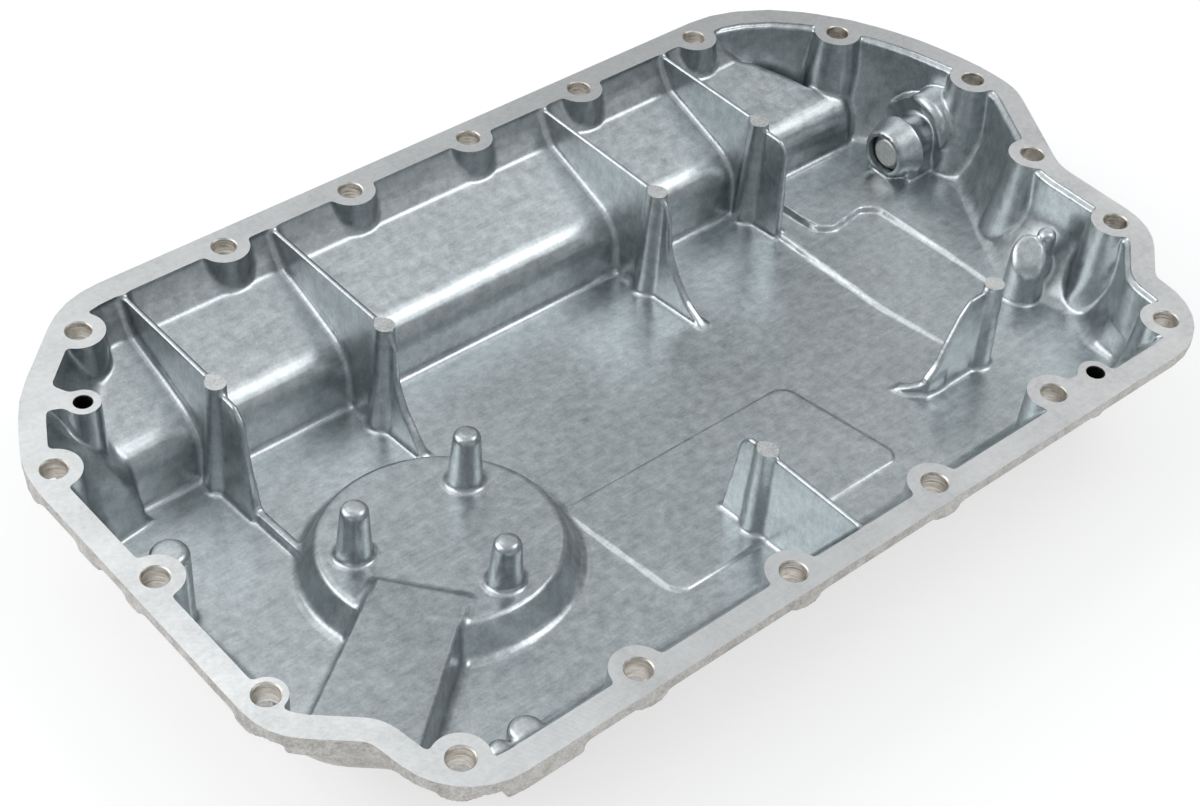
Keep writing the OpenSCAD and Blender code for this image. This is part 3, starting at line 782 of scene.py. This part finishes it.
# ------------------------------------------------------------------- materials
class Shader:
    """A small builder for procedural metal materials in object space."""

    def __init__(self, name, base, rough, metal=1.0):
        self.mat = bpy.data.materials.new(name)
        self.mat.use_nodes = True
        self.nt = self.mat.node_tree
        self.b = self.nt.nodes["Principled BSDF"]
        self.b.inputs["Base Color"].default_value = (*base, 1)
        self.b.inputs["Roughness"].default_value = rough
        self.b.inputs["Metallic"].default_value = metal
        self.co = self.nt.nodes.new("ShaderNodeTexCoord").outputs["Object"]

    def feed(self, sock, v):
        if isinstance(v, (int, float)):
            sock.default_value = v
        else:
            self.nt.links.new(v, sock)

    def placed(self, scale, turn=0.0, shift=(0, 0, 0)):
        m = self.nt.nodes.new("ShaderNodeMapping")
        m.inputs["Location"].default_value = shift
        m.inputs["Rotation"].default_value = (0, 0, math.radians(turn))
        m.inputs["Scale"].default_value = scale
        self.nt.links.new(self.co, m.inputs["Vector"])
        return m.outputs[0]

    def noise(self, scale, detail=3.0, rough=0.55, vec=None, twist=0.0):
        n = self.nt.nodes.new("ShaderNodeTexNoise")
        self.nt.links.new(vec if vec is not None else self.co, n.inputs["Vector"])
        n.inputs["Scale"].default_value = scale
        n.inputs["Detail"].default_value = detail
        n.inputs["Roughness"].default_value = rough
        n.inputs["Distortion"].default_value = twist
        return n.outputs[0]

    def streaks(self, turn, along, across, detail=2.0):
        """Noise drawn out along one direction of the plan."""
        return self.noise(1.0, detail, 0.6, self.placed((along, across, 260), turn))

    def calc(self, op, a, b):
        m = self.nt.nodes.new("ShaderNodeMath")
        m.operation = op
        self.feed(m.inputs[0], a)
        self.feed(m.inputs[1], b)
        return m.outputs[0]

    def blend(self, parts):
        """Weighted sum of several factors."""
        out = None
        for w, v in parts:
            t = self.calc("MULTIPLY", v, w)
            out = t if out is None else self.calc("ADD", out, t)
        return out

    def ramp(self, fac, stops):
        r = self.nt.nodes.new("ShaderNodeValToRGB")
        el = r.color_ramp.elements
        while len(el) < len(stops):
            el.new(0.5)
        for e, (pos, col) in zip(el, stops):
            e.position = pos
            e.color = (*((col,) * 3 if isinstance(col, (int, float)) else col), 1)
        self.nt.links.new(fac, r.inputs[0])
        return r.outputs[0]

    def over(self, fac, a, b):
        m = self.nt.nodes.new("ShaderNodeMix")
        m.data_type = "RGBA"
        self.feed(m.inputs[0], fac)
        self.nt.links.new(a, m.inputs[6])
        self.nt.links.new(b, m.inputs[7])
        return m.outputs[2]

    def bump(self, layers):
        normal = None
        for height, dist in layers:
            b = self.nt.nodes.new("ShaderNodeBump")
            b.inputs["Strength"].default_value = 1.0
            b.inputs["Distance"].default_value = dist
            self.nt.links.new(height, b.inputs["Height"])
            if normal is not None:
                self.nt.links.new(normal, b.inputs["Normal"])
            normal = b.outputs[0]
        self.nt.links.new(normal, self.b.inputs["Normal"])

    def colour(self, v):
        self.nt.links.new(v, self.b.inputs["Base Color"])

    def rough(self, v):
        self.nt.links.new(v, self.b.inputs["Roughness"])


def cast_metal(name, dark, mid, light, r_lo, r_hi, scratch=0.12):
    m = Shader(name, mid, 0.36)
    cloud = m.noise(15, 2, 0.5, twist=0.4)
    mottle = m.noise(310, 2, 0.55)
    grain = m.noise(1500, 2, 0.5)
    s1 = m.streaks(38, 130, 1250)
    s2 = m.streaks(-47, 150, 1050)
    f = m.blend([(0.21, cloud), (0.34, mottle), (0.45 - scratch * 2, grain), (scratch, s1), (scratch, s2)])
    m.colour(m.ramp(f, [(0.36, dark), (0.49, mid), (0.62, light)]))
    g = m.blend([(0.4, mottle), (0.4, cloud), (0.2, s1)])
    m.rough(m.ramp(g, [(0.36, r_lo), (0.64, r_hi)]))
    m.bump([(mottle, 0.00004), (grain, 0.000007), (m.blend([(0.5, s1), (0.5, s2)]), 0.000007)])
    return m


inner_m = cast_metal("cast_inner", (0.33, 0.358, 0.368), (0.455, 0.490, 0.501), (0.59, 0.626, 0.636), 0.28, 0.36)
outer_m = cast_metal("cast_outer", (0.28, 0.27, 0.255), (0.46, 0.45, 0.43), (0.62, 0.61, 0.59), 0.40, 0.58, 0.05)
pin_m = cast_metal("pin_marks", (0.46, 0.465, 0.46), (0.64, 0.645, 0.635), (0.76, 0.765, 0.75), 0.36, 0.50, 0.02)

land_m = Shader("milled_land", (0.86, 0.87, 0.87), 0.33)
arcs = land_m.nt.nodes.new("ShaderNodeTexWave")
arcs.wave_type = "RINGS"
arcs.rings_direction = "Z"
arcs.inputs["Scale"].default_value = 240
arcs.inputs["Distortion"].default_value = 0.6
arcs.inputs["Detail"].default_value = 1.0
land_m.nt.links.new(land_m.placed((1, 1, 1), 0, (0.32, 0.21, 0)), arcs.inputs["Vector"])
arcs = arcs.outputs["Fac"]
patch = land_m.noise(42, 3, 0.6)
speck = land_m.noise(650, 3, 0.65)
lines = land_m.streaks(12, 40, 1500)
f = land_m.blend([(0.52, patch), (0.36, speck), (0.12, lines)])
land_m.colour(land_m.ramp(f, [(0.34, (0.57, 0.575, 0.57)), (0.48, (0.685, 0.69, 0.685)), (0.64, (0.78, 0.785, 0.775))]))
land_m.rough(land_m.ramp(f, [(0.36, 0.35), (0.62, 0.29)]))
land_m.bump([(arcs, 0.000004), (speck, 0.000005)])

hole_m = Shader("drilled_walls", (0.50, 0.46, 0.40), 0.45)
rings = hole_m.noise(1.0, 2, 0.6, hole_m.placed((160, 160, 1300)))
stain = hole_m.noise(420, 3, 0.6)
f = hole_m.blend([(0.55, rings), (0.45, stain)])
hole_m.colour(hole_m.ramp(f, [(0.36, (0.34, 0.315, 0.28)), (0.50, (0.60, 0.57, 0.52)), (0.64, (0.80, 0.78, 0.73))]))
hole_m.rough(hole_m.ramp(stain, [(0.35, 0.34), (0.65, 0.56)]))
hole_m.bump([(rings, 0.00025)])

# painted shade: the blind dowel bores get an almost black colour that stands in for the shade deep inside them, not a
# colour the aluminium has
dowel_painted_shade_m = Shader("dowel_bores_painted_shade", (0.05, 0.05, 0.05), 0.5)
f = dowel_painted_shade_m.noise(900, 2, 0.5)
dowel_painted_shade_m.colour(dowel_painted_shade_m.ramp(f, [(0.35, (0.03, 0.03, 0.03)), (0.65, (0.085, 0.083, 0.08))]))
dowel_painted_shade_m.bump([(f, 0.00008)])

casting.data.materials.clear()
for m in (inner_m, land_m, outer_m, hole_m, dowel_painted_shade_m, pin_m):
    casting.data.materials.append(m.mat)
kind = np.where(sample(cav, fcen) > 1.2, 2, 0)
kind[flat_top] = 1
for bx, by, ba in BOLTS:
    rr = np.hypot(fcen[:, 0] - bx, fcen[:, 1] - by)
    kind[(rr < 3.9) & (fcen[:, 2] > 36) & ~flat_top] = 3
# the walls and floor of the dowel bores take the near-black painted shade
for dx, dy in DOWELS:
    rr = np.hypot(fcen[:, 0] - dx, fcen[:, 1] - dy)
    kind[(rr < 2.7) & (fcen[:, 2] > 31) & ~flat_top] = 4
for px, py in POSTS:
    rr = np.hypot(fcen[:, 0] - px, fcen[:, 1] - py)
    kind[(rr < 4.6) & post_face] = 5
kind[in_bore] = 0
rr = np.hypot(fcen[:, 1] - DRAIN_Y, fcen[:, 2] - DRAIN_Z)
kind[(rr < 12.2) & (np.abs(fcen[:, 0] - DRAIN_SEAT_X) < 0.4) & (fnorm[:, 0] > 0.9)] = 1
me.polygons.foreach_set("material_index", kind.astype(np.int32))
me.update()

plug_m = Shader("plug_zinc", (0.52, 0.52, 0.51), 0.34)
tone = plug_m.noise(180, 3, 0.6)
fine = plug_m.noise(1400, 2, 0.5)
f = plug_m.blend([(0.6, tone), (0.4, fine)])
plug_m.colour(plug_m.ramp(f, [(0.36, (0.36, 0.36, 0.35)), (0.5, (0.52, 0.52, 0.51)), (0.64, (0.68, 0.68, 0.66))]))
plug_m.rough(plug_m.ramp(f, [(0.36, 0.42), (0.64, 0.27)]))
plug_m.bump([(tone, 0.00008), (fine, 0.00003)])
washer_m = Shader("washer_metal", (0.78, 0.79, 0.80), 0.30)
tone = washer_m.noise(300, 3, 0.6)
washer_m.colour(washer_m.ramp(tone, [(0.36, (0.62, 0.63, 0.64)), (0.64, (0.86, 0.865, 0.87))]))
washer_m.rough(washer_m.ramp(tone, [(0.36, 0.40), (0.64, 0.24)]))
washer_m.bump([(washer_m.noise(1.0, 2, 0.5, washer_m.placed((120, 900, 900))), 0.00004)])

tip_m = Shader("plug_tip", (0.84, 0.84, 0.82), 0.5)
turning = tip_m.noise(1.0, 2, 0.6, tip_m.placed((300, 900, 900)))
tip_m.colour(tip_m.ramp(turning, [(0.35, (0.64, 0.64, 0.62)), (0.65, (0.82, 0.82, 0.80))]))
tip_m.rough(tip_m.ramp(turning, [(0.35, 0.46), (0.65, 0.60)]))
tip_m.bump([(turning, 0.00004)])
plug.data.materials.append(plug_m.mat)
plug.data.materials.append(tip_m.mat)
for poly in plug.data.polygons:
    if poly.center.x < (TIP + 0.3) * MM:
        poly.material_index = 1
washer.data.materials.append(washer_m.mat)

# ------------------------------------------------------------ floor and lights
bpy.ops.mesh.primitive_plane_add(size=6, location=(0, 0, 0))
ground = bpy.context.object
ground.name = "ground"
stage = Shader("ground", (0.42, 0.42, 0.42), 0.95, 0.0)
stage.b.inputs["Specular IOR Level"].default_value = 0.1
stage.b.inputs["Emission Color"].default_value = (1, 1, 1, 1)
stage.b.inputs["Emission Strength"].default_value = 0.60
ground.data.materials.append(stage.mat)

# soft surroundings, darker near the horizon
world = bpy.data.worlds.new("studio")
bpy.context.scene.world = world
world.use_nodes = True
wn = world.node_tree
sky = wn.nodes.new("ShaderNodeTexCoord")
toward = wn.nodes.new("ShaderNodeVectorMath")
toward.operation = "DOT_PRODUCT"
toward.inputs[1].default_value = (0.5, 0, 0)
shift = wn.nodes.new("ShaderNodeMath")
shift.operation = "ADD"
shift.inputs[1].default_value = 0.5
grade = wn.nodes.new("ShaderNodeValToRGB")
wn.links.new(sky.outputs["Generated"], toward.inputs[0])
wn.links.new(toward.outputs["Value"], shift.inputs[0])
wn.links.new(shift.outputs[0], grade.inputs[0])
wn.links.new(grade.outputs[0], wn.nodes["Background"].inputs["Color"])
el = grade.color_ramp.elements
SKY = [(0.0, 0.45), (0.2, 0.60), (0.5, 0.84), (0.69, 0.83), (0.74, 0.80), (0.79, 0.45), (0.86, 0.31), (1.0, 0.30)]
while len(el) < len(SKY):
    el.new(0.5)
for e, (pos, v) in zip(el, SKY):
    e.position = pos
    e.color = (v * 0.97, v, v * 1.03, 1)
# and darker low down at the front
front = wn.nodes.new("ShaderNodeVectorMath")
front.operation = "DOT_PRODUCT"
front.inputs[1].default_value = (0, 0.5, 0)
front_shift = wn.nodes.new("ShaderNodeMath")
front_shift.operation = "ADD"
front_shift.inputs[1].default_value = 0.5
fade = wn.nodes.new("ShaderNodeValToRGB")
fade.color_ramp.elements[0].position = 0.16
fade.color_ramp.elements[0].color = (0.62, 0.62, 0.62, 1)
fade.color_ramp.elements[1].position = 0.30
fade.color_ramp.elements[1].color = (1, 1, 1, 1)
for pos, v in ((0.73, 1.0), (0.80, 0.87)):
    fade.color_ramp.elements.new(pos).color = (v, v, v, 1)
wn.links.new(sky.outputs["Generated"], front.inputs[0])
wn.links.new(front.outputs["Value"], front_shift.inputs[0])
wn.links.new(front_shift.outputs[0], fade.inputs[0])
wn.links.new(fade.outputs[0], wn.nodes["Background"].inputs["Strength"])


def panel(name, x0, x1, y0, y1, z, radiance):
    """A soft box that lies flat overhead and shines straight down."""
    li = bpy.data.lights.new(name, "AREA")
    li.shape = "RECTANGLE"
    li.size, li.size_y = x1 - x0, y1 - y0
    li.energy = radiance * math.pi * (x1 - x0) * (y1 - y0)
    ob = bpy.data.objects.new(name, li)
    bpy.context.scene.collection.objects.link(ob)
    ob.location = ((x0 + x1) / 2, (y0 + y1) / 2, z)
    return ob


def side_box(name, azimuth, elevation, dist, width, height, radiance):
    """A soft box that stands round the part and faces it."""
    a, e = math.radians(azimuth), math.radians(elevation)
    ob = panel(name, -width / 2, width / 2, -height / 2, height / 2, 0, radiance)
    ob.location = (dist * math.cos(a) * math.cos(e), dist * math.sin(a) * math.cos(e), dist * math.sin(e))
    ob.rotation_euler = (-ob.location).to_track_quat("-Z", "Y").to_euler()
    return ob


panel("box_left", -0.7, 0.49, 0.55, 1.31, 1.3, 0.84)
panel("box_right", 1.15, 1.95, 0.42, 1.10, 1.3, 0.78)
panel("box_side", 0.42, 1.30, -1.12, -0.08, 1.3, 2.6)
panel("box_far", -1.9, -0.75, -0.1, 1.7, 1.3, 1.5)
side_box("box_rear", 142, 20, 1.6, 1.6, 1.0, 2.0)

cam = bpy.data.cameras.new("camera")
cam.sensor_fit = "HORIZONTAL"
cam.sensor_width = 36
cam.lens = 70.27
cam.shift_x = 0.0289
cam.shift_y = -0.0821
cam.clip_start, cam.clip_end = 0.05, 20
cob = bpy.data.objects.new("camera", cam)
bpy.context.scene.collection.objects.link(cob)
cob.location = (-0.3615, -0.3451, 0.4228 + 0.044)
cob.rotation_euler = [math.radians(a) for a in (49.7174, -3.5893, -40.5758)]
bpy.context.scene.camera = cob
bpy.context.scene.view_settings.view_transform = "Standard"


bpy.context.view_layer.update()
say("done")
